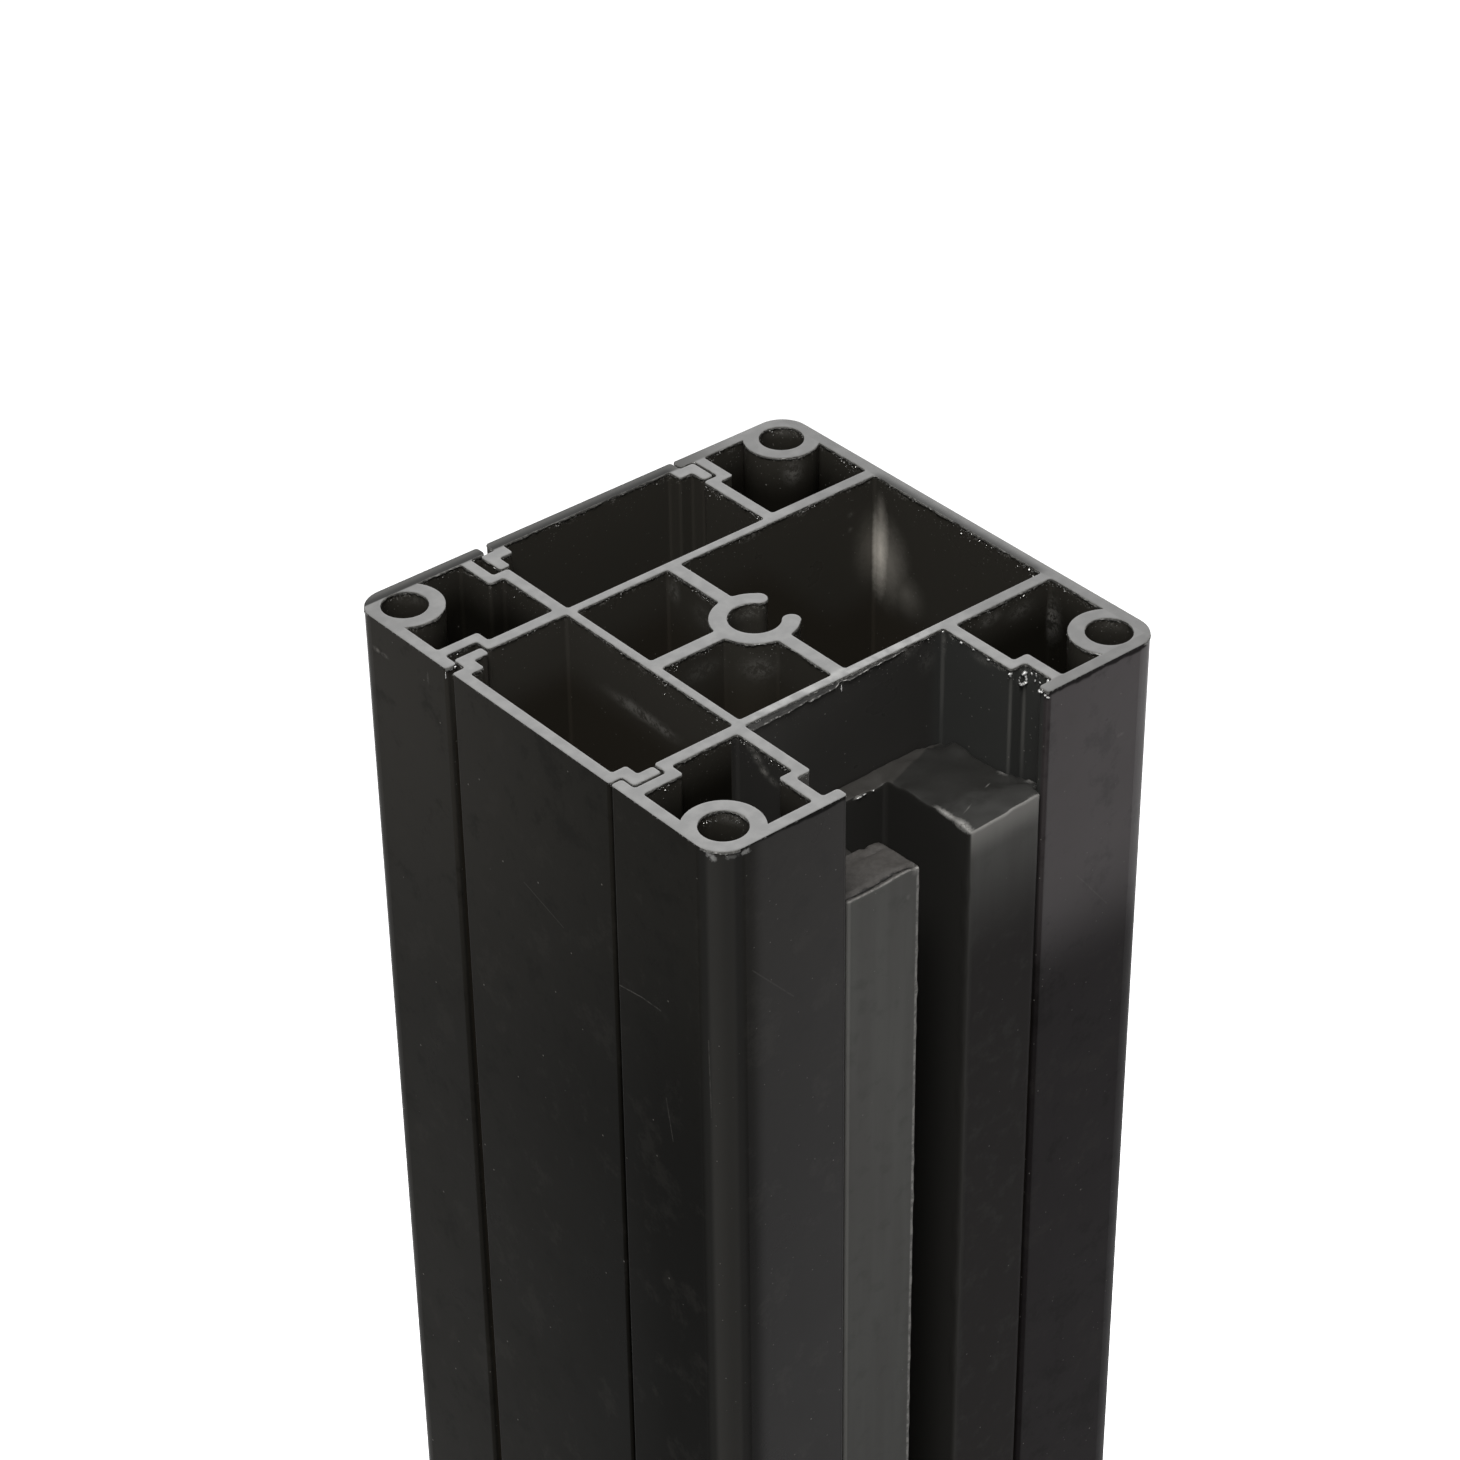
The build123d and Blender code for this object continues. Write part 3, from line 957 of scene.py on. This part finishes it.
crumbs = []
for outline in cut_outlines:
    points, right = evenly(outline, CRUMB_STEP)
    dust_and_sheen = wobble(points, 0.25, 21.0)
    inside = np.abs(points).max(1) < half_side - 0.3 * MM
    for i in np.flatnonzero(inside & (rng.random(len(points)) < 0.35 + 1.6 * dust_and_sheen)):
        for _ in range(1 + int(6 * max(0.0, dust_and_sheen[i]) ** 0.5)):
            size = rng.uniform(0.04, 0.09) * (1.8 if rng.random() < 0.12 else 1.0)
            depth = 0.2 + rng.exponential(0.35)
            slip = np.array([-right[i][1], right[i][0]]) * rng.uniform(-0.25, 0.25)
            at = points[i] + (right[i] * 0.3 * size + slip) * MM
            crumbs.append(lump((*at, top - depth * MM), rng.uniform(0.7, 1.3, 3) * size * MM))
for turn in np.radians(rng.uniform(-5, 105, PORT_CRUMBS)):
    x = NEAR_PORT[0] + PORT_RADIUS * math.cos(turn)
    y = NEAR_PORT[1] + PORT_RADIUS * math.sin(turn)
    size = rng.uniform(0.05, 0.13)
    at = (x * MM, y * MM, top - rng.uniform(0.25, 1.5) * MM)
    crumbs.append(lump(at, rng.uniform(0.7, 1.3, 3) * size * MM))
lump_piece("saw_crumbs", crumbs, LUMP_FACES, CRUMB_COLOURS, 0.20)

# %% [markdown]
# ## A peeled flap of coat
#
# On the open slot's side the saw peeled a strip of the coat off the edge. It hangs down a
# millimetre or so, stands away from the wall at its lower edge, and shows a bright torn rim.

# %% Peeled flap
FLAP_WALL = -16.65
FLAP_ENDS = (-15.3, 9.5)
FLAP_STEP = 0.12
FLAP_SKIN = (0.014, 0.0135, 0.012), (0.060, 0.057, 0.052)
FLAP_RIM = (0.045, 0.043, 0.040), (0.40, 0.39, 0.37)
# Places of its lower edge, as x and millimetres down
FLAP_LOWER = [
    (-15.3, 0.5), (-14.6, 1.15), (-11.0, 1.1), (-7.1, 0.95), (-6.2, 0.75), (-5.8, 1.0),
    (-3.5, 0.95), (-1.6, 0.85), (-1.0, 0.4), (-0.4, 0.35), (0.6, 0.75), (2.6, 0.6),
    (4.0, 0.45), (7.5, 0.5), (9.5, 0.25),
]
# Its rows from the wall to the curled rim: a share of the way down, and one of how far out
FLAP_SECTION = [
    (0.0, -0.2), (0.12, 0.2), (0.5, 0.4), (0.85, 0.8), (1.0, 1.3), (1.05, 1.2), (0.8, 0.3),
]
RIM_ROWS = (3, 4)


def ripple(along, per_mm, seed):
    """Smooth noise along a line of millimetres."""
    return np.array([noise.noise(Vector((a * per_mm, 0, seed))) for a in along])


def faces_between(upper, lower, count, closed=True):
    """Faces that join two rows of corners, given the number of the first corner of each."""
    sides = range(count if closed else count - 1)
    ahead = [(i + 1) % count for i in sides]
    return [(upper + i, lower + i, lower + j, upper + j) for i, j in zip(sides, ahead)]


along = np.arange(*FLAP_ENDS, FLAP_STEP)
lower = np.interp(along, *zip(*FLAP_LOWER)) + 0.10 * ripple(along, 1.7, 31.0)
stands = 0.18 + 0.10 * ripple(along, 0.5, 37.0)
rows, flap_faces = [], []
for number, (down_share, out_share) in enumerate(FLAP_SECTION):
    down = 0.02 + down_share * lower
    rows.append(np.column_stack([along, FLAP_WALL - out_share * stands, LENGTH - down]))
    if number:
        start = (number - 1) * len(along)
        flap_faces += faces_between(start, start + len(along), len(along), closed=False)

folds = {"detail": 4.0, "stretch": (0.6, 1.0, 2.0), "rough": 0.7}
flap_coat = mottled("flap_coat", 1.2, (0.4, 0.7), FLAP_SKIN, 0.45, **folds)
torn_rim = mottled("torn_rim", 1.4, (0.48, 0.70), FLAP_RIM, 0.4, 0.3, detail=3.0, rough=0.7)
flap = add_mesh("peeled_flap", np.concatenate(rows) * MM, flap_faces, flap_coat)
flap.data.materials.append(torn_rim)
for number, face in enumerate(flap.data.polygons):
    face.material_index = int(number // (len(along) - 1) in RIM_ROWS)
print("flap", len(flap_faces), "faces")

# %% [markdown]
# ## The gasket
#
# The gasket is a rubber extrusion cut to length with a knife, so its long sides are true and
# its top is not. The two cheeks of the U end at different heights and slopes, the rims are
# torn, and a slit runs behind the front rim of the left cheek. The CAD section gives the
# outline. Its top is filled with small triangles whose height comes from a handful of
# measured places, and rings of the same outline go down from there to the base.

# %% Height of the gasket's top
# Places on the cut top as x, y and height from the post's sawn end, in millimetres
TOP_PLACES = [
    # Left cheek
    (-15.2, -34.6, -15.8), (-10.5, -34.6, -15.85), (-6.5, -34.6, -15.7), (-4.1, -34.7, -16.1),
    (-15.2, -31.0, -16.1), (-9.0, -31.0, -15.9), (-4.1, -31.5, -16.2), (-4.1, -28.7, -16.3),
    (-15.0, -27.4, -16.3), (-9.0, -27.4, -16.2), (-4.1, -27.2, -16.5), (-17.6, -31.0, -16.6),
    # Base of the U
    (-15.0, -17.0, -16.4), (-10.0, -18.0, -16.3), (-4.0, -17.0, -15.9), (-2.0, -19.4, -15.5),
    (0.2, -19.4, -15.7), (2.8, -19.4, -15.95), (2.6, -17.0, -15.7), (5.6, -17.0, -15.6),
    (9.3, -17.0, -15.7), (13.1, -17.0, -16.2), (15.2, -17.0, -16.5), (-4.0, -19.4, -15.7),
    # Right cheek
    (4.4, -20.6, -15.25), (4.1, -24.0, -14.9), (4.1, -26.7, -15.0), (4.1, -29.0, -14.7),
    (4.1, -32.8, -14.7), (5.0, -34.7, -15.1), (8.7, -34.7, -15.0), (12.0, -34.7, -14.7),
    (15.2, -34.7, -14.65), (15.4, -33.5, -14.5), (17.6, -31.1, -15.6), (17.6, -29.5, -16.2),
    (15.4, -28.1, -14.9), (15.4, -27.0, -15.2), (15.4, -23.8, -15.4), (15.4, -20.5, -15.0),
    (10.0, -30.5, -14.7), (10.0, -25.0, -14.9), (12.0, -18.3, -15.3), (8.2, -19.6, -15.2),
]
TORN_DEPTH = 5.0
SLIT_DEPTH = 0.45
DENT_DEPTH = 0.35


def step_between(value, low, high):
    """Smooth step from 0 at low to 1 at high."""
    share = np.clip((value - low) / (high - low), 0, 1)
    return share * share * (3 - 2 * share)


def trench(off_line, half_width):
    """1 on a line and 0 away from it."""
    return np.exp(-((off_line / half_width) ** 2))


def top_of_gasket(points):
    """Height of the cut top for each x and y, in metres from the post's sawn end."""
    places = np.array(TOP_PLACES)
    spots = np.asarray(points) / MM
    gap = np.linalg.norm(spots[:, None] - places[None, :, :2], axis=2)
    weight = 1 / (gap**2 + 0.4) ** 1.8
    height = (weight * places[:, 2]).sum(1) / weight.sum(1)
    x, y = spots[:, 0], spots[:, 1]
    coarse = wobble(points, 0.6, 2.0)
    height += 0.05 * coarse + 0.015 * wobble(points, 2.2, 5.0)
    # Behind the left cheek's front part a piece is torn out
    tear_line = -26.9 + 0.5 * coarse
    behind = step_between(y, tear_line - 0.35, tear_line + 0.5)
    height -= TORN_DEPTH * behind * step_between(y, -20.0, -20.9) * (x < -3.0)
    # The knife's first try left a slit behind the left cheek's front rim
    slit_line = -33.8 - 0.15 * np.sin(x * 0.9) - 0.1 * coarse
    height -= SLIT_DEPTH * trench(y - slit_line, 0.22) * (x < -4.0)
    # A shallow dent runs across its top
    dent_line = -28.7 + 0.12 * (x + 6.5)
    dent = trench(y - dent_line, 0.3) * step_between(x, -8.5, -7.5) * (x < -5.0)
    height -= DENT_DEPTH * dent
    return height * MM


# %% [markdown]
# ## Filling the gasket's top
#
# The top is filled by a triangulation that keeps to the outline and takes in a grid of
# points, so that its height can follow the knife. A plain fill has no points in the middle.

# %% Outline and filled top of the gasket
RING_STEP = 0.3 * MM
GRID_STEP = 0.34 * MM
RIM_INSET = 0.24 * MM
RIM_SINK = 0.04 * MM
GRID_CLEARANCE = 0.2 * MM
gasket_low, gasket_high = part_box("glazing_gasket")
outline = max(outlines_at(cad_gasket, gasket_high.z), key=len)
ring, right = evenly(outline, RING_STEP)
rim = ring - right * RIM_INSET


def inside_ring(points, ring):
    """True for each point inside a closed ring."""
    x, y = points[:, 0][:, None], points[:, 1][:, None]
    a, b = ring, np.roll(ring, -1, 0)
    crosses = (a[:, 1] > y) != (b[:, 1] > y)
    safe = np.where(a[:, 1] == b[:, 1], 1.0, b[:, 1] - a[:, 1])
    at = a[:, 0] + (y - a[:, 1]) * (b[:, 0] - a[:, 0]) / safe
    return (crosses & (x < at)).sum(1) % 2 == 1


grid_x = np.arange(gasket_low.x, gasket_high.x, GRID_STEP)
grid_y = np.arange(gasket_low.y, gasket_high.y, GRID_STEP)
grid = np.stack(np.meshgrid(grid_x, grid_y), -1).reshape(-1, 2)
grid = grid[inside_ring(grid, rim)]
from_rim = np.array([np.linalg.norm(rim - p, axis=1).min() for p in grid])
grid = grid[from_rim > GRID_CLEARANCE]
flat = [Vector(p / MM) for p in np.vstack([rim, grid])]
count = len(ring)
filled = geometry.delaunay_2d_cdt(flat, [], [list(range(count))], 1, 1e-6)
cap_points = np.array([tuple(v) for v in filled[0]]) * MM
assert len(cap_points) == len(flat), "the filled top has gained or lost points"
cap_faces = [tuple(f) for f in filled[2]]
print("gasket's top", len(cap_points), "points,", len(cap_faces), "triangles")

# %% [markdown]
# ## The gasket's long sides
#
# Rings of the outline are joined from the rim to the base. The first ones round the rim off,
# the next follow its slope less and less, and the level ones lie close together where small
# tears show and far apart below, which keeps the mesh light.

# %% Rings of the gasket
# Rings below the rim: how far inside the outline, and how far below the rim
ROUNDING = [(0.12, 0.05), (0.03, 0.14), (0.0, 0.32), (0.0, 0.7), (0.0, 1.2), (0.0, 1.8)]
# Then rings at shares of the way to a level one, and level ones with the steps between them
JOINING = [0.2, 0.4, 0.6, 0.8]
TEAR_BOTTOM = -24.0
FINE_TO, FINE_STEP = -110.0, -1.5
COARSE_FROM, COARSE_TO, COARSE_STEP = -115.0, -1049.0, -30.0
fine_levels = np.arange(TEAR_BOTTOM, FINE_TO, FINE_STEP)
coarse_levels = np.arange(COARSE_FROM, COARSE_TO, COARSE_STEP)
LEVELS = np.concatenate([fine_levels, coarse_levels, [-LENGTH]])
# The groove's two front edges are torn a little, and the long sides sway
GROOVE_HALF = 4.0
beside_groove = np.abs(np.abs(ring[:, 0]) - GROOVE_HALF * MM) < 0.5 * MM
groove_edges = beside_groove & (ring[:, 1] < gasket_low.y + 1.2 * MM)


def ragged(points, z, outward):
    """Ring at one level, with small tears along the groove's two front edges."""
    spots = points / MM
    tears = [noise.noise(Vector((x * 0.9, z / MM * 1.4, 4.0))) for x, y in spots]
    sway = [noise.noise(Vector((x * 0.15, y * 0.15, z / MM * 0.06))) for x, y in spots]
    out = 0.04 * np.array(sway) + 0.35 * np.maximum(0.0, np.array(tears) - 0.12) * groove_edges
    return points + outward * (out * MM)[:, None]


rim_height = top_of_gasket(ring)
corners = [np.column_stack([cap_points, top + top_of_gasket(cap_points)])]
corners[0][:count, 2] -= RIM_SINK
for inset, drop in ROUNDING:
    at = ring - right * inset * MM
    corners.append(np.column_stack([at, top + rim_height - drop * MM]))
for share in JOINING:
    height = (rim_height - ROUNDING[-1][1] * MM) * (1 - share) + TEAR_BOTTOM * MM * share
    at = ragged(ring, TEAR_BOTTOM * share * MM, right)
    corners.append(np.column_stack([at, top + height]))
for level in LEVELS:
    at = ragged(ring, level * MM, right) if level > -LENGTH else ring
    corners.append(np.column_stack([at, np.full(count, top + level * MM)]))
corners.append(np.column_stack([cap_points, np.zeros(len(cap_points))]))

faces = list(cap_faces)
rings = len(ROUNDING) + len(JOINING) + len(LEVELS)
starts = [0] + [len(cap_points) + k * count for k in range(rings + 1)]
for upper, lower in zip(starts, starts[1:]):
    faces += faces_between(upper, lower, count)
faces += [tuple(starts[-1] + i for i in reversed(face)) for face in cap_faces]
print("gasket", sum(len(c) for c in corners), "corners")

# %% [markdown]
# ## Rubber
#
# Moulded rubber is greyer than the coat because its matte skin scatters light, and dust
# sticks to it. The cut top is fresh and darker, with pale torn spots at its rims, and a few
# rims carry painted highlights. The slit, the groove and the torn-out part are painted darker
# as shade, and the right cheek's front is painted lit near its top.

# %% Rubber colours and scuffs
RUBBER = (0.090, 0.088, 0.083)
RUBBER_SHADED = (0.016, 0.014, 0.0135)
RUBBER_PALE = (0.105, 0.105, 0.098)
# Scuff colour, which also paints highlights and a lit band
RUBBER_SCUFF_AND_HIGHLIGHT = (0.36, 0.35, 0.33)
RUBBER_DEEP = (0.036, 0.036, 0.034)
RUBBER_MOTTLED = (0.045, 0.045, 0.042)
RUBBER_SPECKS = (0.25, 0.25, 0.23)
CUT_LEFT = (0.048, 0.0445, 0.041)
CUT_LEFT_PALE = (0.066, 0.0615, 0.057)
CUT_TORN_OUT_SHADE = (0.020, 0.019, 0.017)
CUT_BASE = (0.034, 0.032, 0.029)
CUT_RIGHT = (0.030, 0.0295, 0.0275)
CUT_RIGHT_BACK = (0.016, 0.0155, 0.014)
SLIT_SHADE = (0.004, 0.004, 0.0035)
GROOVE_SHADE = (0.024, 0.023, 0.021)
# A line that the knife pulled across the right cheek's top
PULL_LINE = ((5.3, -31.7, 14.9), (12.7, -28.8, 14.9), 0.35)
# Scuffed rims, each as x, y, depth, three reaches and strength, in millimetres; the first three,
# on the right cheek's left rim, are a painted highlight
SCUFFS_AND_HIGHLIGHT = [
    (4.2, -33.3, 14.9, 0.8, 2.4, 0.9, 1.0), (4.1, -33.0, 14.9, 0.4, 1.9, 0.5, 1.0),
    (4.2, -30.4, 14.8, 0.5, 2.4, 0.6, 0.9),
    (14.6, -34.7, 15.0, 1.6, 0.5, 0.7, 0.45), (-4.7, -34.6, 16.3, 0.8, 0.5, 0.7, 0.6),
    (15.3, -28.2, 14.9, 0.6, 0.9, 0.5, 0.4), (17.2, -31.0, 15.6, 0.6, 0.8, 0.4, 0.35),
    (-6.0, -34.8, 19.6, 0.35, 0.4, 0.45, 0.25), (-0.6, -19.7, 15.9, 0.9, 0.3, 0.3, 0.8),
    (1.8, -19.7, 15.9, 0.35, 0.3, 0.3, 0.6), (14.2, -34.8, 15.9, 0.8, 0.4, 0.5, 0.5),
    (15.3, -34.8, 15.3, 0.5, 0.4, 0.6, 0.6), (12.8, -34.8, 16.0, 0.7, 0.4, 0.25, 0.4),
]


def long_sides(place, mottle, bloom):
    """Colour of the moulded sides, darker with depth and shaded on the right cheek."""
    x, _, below = where(place)
    colour = blend_of(fade(bloom, 0.3, 0.7), RUBBER, RUBBER_PALE)
    deeper = times(fade(below, 25.0, 140.0, 0.0, 0.55), fade(x, 5.0, 3.0))
    colour = blend_of(deeper, colour, RUBBER_DEEP)
    colour = blend_of(right_shade(place), colour, RUBBER_SHADED)
    colour = blend_of(fade(mottle, 0.5, 0.75, 0.0, 0.35), colour, RUBBER_MOTTLED)
    crumbs = times(specks(place, 0.7, 0.12, 0.22), 0.5)
    return blend_of(crumbs, colour, RUBBER_SPECKS)


def right_shade(place):
    """How far the right cheek's front lies in shade."""
    x, _, below = where(place)
    return times(fade(below, 11.0, 37.0), fade(x, 3.0, 5.0))


def cut_top(place, mottle, torn):
    """Colour of the cut: brownish on the left cheek, its torn-out part in painted shade, and
    darker to the back of the right one.
    """
    x, y, _ = where(place)
    left = blend_of(fade(torn, 0.35, 0.65), CUT_LEFT, CUT_LEFT_PALE)
    # Painted shade in the torn-out part behind the left cheek's front
    left = blend_of(fade(y, -27.2, -26.4), left, CUT_TORN_OUT_SHADE)
    to_back = fade(plus(y, fade(mottle, 0.3, 0.7, -2.0, 2.0)), -33.0, -28.0)
    right = blend_of(to_back, CUT_RIGHT, CUT_RIGHT_BACK)
    base = fade(minus(y, times(x, 0.33)), -22.3, -21.9)
    right = blend_of(base, right, CUT_BASE)
    colour = blend_of(fade(x, -3.9, -3.7), left, CUT_BASE)
    return blend_of(fade(x, 3.7, 3.9), colour, right)


def pale_rims(place, cut, torn):
    """Share of the left edge's painted highlight, the painted lit band near the top of the right
    cheek's front, and the torn rims.
    """
    x, y, below = where(place)
    front = fade(y, -34.45, -34.6)
    # Painted highlight on the left cheek's rounded left edge, and a painted lit band near the top
    # of the right cheek's front
    left_edge_highlight = times(fade(x, -14.9, -15.15), fade(y, -34.2, -34.5), 0.22)
    ridge = times(fade(cut, 0.3, 0.7), front, fade(torn, 0.35, 0.6, 0.1, 0.42))
    lit_band = times(fade(below, 19.5, 15.0, 0.0, 0.5), front, fade(x, 3.7, 3.9))
    beside_groove = fade(unsigned(plus(x, 4.3)), 0.5, 0.2)
    tears = times(fade(y, -34.2, -34.5), fade(torn, 0.4, 0.6, 0.22, 0.85))
    return most(left_edge_highlight, lit_band, ridge, times(beside_groove, tears))


def slit_shade_share(place, mottle, torn):
    """Share of the painted shade in the knife's slit behind the left cheek's front rim."""
    x, y, _ = where(place)
    off = plus(y, fade(mottle, 0.3, 0.7, 33.85, 34.1))
    off = plus(off, fade(torn, 0.3, 0.7, -0.12, 0.12))
    slit_shade = times(fade(unsigned(off), 0.40, 0.20), fade(x, -4.4, -5.4))
    return times(slit_shade, fade(facing_up(), 0.05, 0.3),
                 fade(torn, 0.3, 0.5, 0.7, 1.0))


# %% Rubber finish on the gasket
rubber, out, place = new_finish("gasket_rubber")
cut = fade(facing_up(), 0.2, 0.5)
mottle = grain(place, 0.35, 4.0, rough=0.6)
torn = grain(place, 1.2, 4.0, rough=0.75)
bloom = grain(place, 1.0, 3.0, stretch=(0.5, 0.5, 0.04))
colour = long_sides(place, mottle, bloom)
colour = blend_of(cut, colour, cut_top(place, mottle, torn))

# Scuffed rims with painted highlights, the slit in painted shade, and a pull line across the top
# of the right cheek
shreds = grain(place, 2.6, 3.0, rough=0.6)
# Scuffs, and a painted highlight on the right cheek's left rim
scuffs_and_highlight = patches(place, fade(shreds, 0.3, 0.7, -0.3, 0.3), SCUFFS_AND_HIGHLIGHT, 1.25, 0.15)
scuffs_and_highlight = times(scuffs_and_highlight, fade(shreds, 0.32, 0.66, 0.3, 1.0))
rims = pale_rims(place, cut, torn)
colour = blend_of(most(rims, scuffs_and_highlight), colour, RUBBER_SCUFF_AND_HIGHLIGHT)
# Painted shade in the knife's slit
colour = blend_of(slit_shade_share(place, mottle, torn), colour, SLIT_SHADE)
pull = times(scratch(place, *PULL_LINE), fade(torn, 0.35, 0.6, 0.25, 1.0))
colour = blend_of(pull, colour, RUBBER_SCUFF_AND_HIGHLIGHT)

# The narrow groove is painted darker, as shade
x = where(place)[0]
in_groove_shade = times(fade(unsigned(x), 4.3, 4.05), fade(cut, 0.6, 0.3),
                  fade(scuffs_and_highlight, 0.4, 0.1))
colour = blend_of(in_groove_shade, colour, GROOVE_SHADE)

gloss = between(right_shade(place), 0.09, 0.036)
gloss = most(gloss, between(cut, 0.0, 0.3))
relief = plus(grain(place, 1.1, 4.0), times(bloom, 0.5))
bump = put("Bump", {"Height": relief, "Strength": 0.2, "Distance": 0.04 * MM})
inputs = {"Base Color": colour, "Roughness": 0.55, "Normal": bump.outputs[0]}
show(out, put("BsdfPrincipled", {**inputs, "Specular IOR Level": gloss}))

gasket = add_mesh("cut_gasket", np.concatenate(corners), faces, rubber)
gasket.data.shade_smooth()
gasket.data.set_sharp_from_angle(angle=math.radians(60))
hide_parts("glazing_gasket")
print("gasket faces", len(gasket.data.polygons))
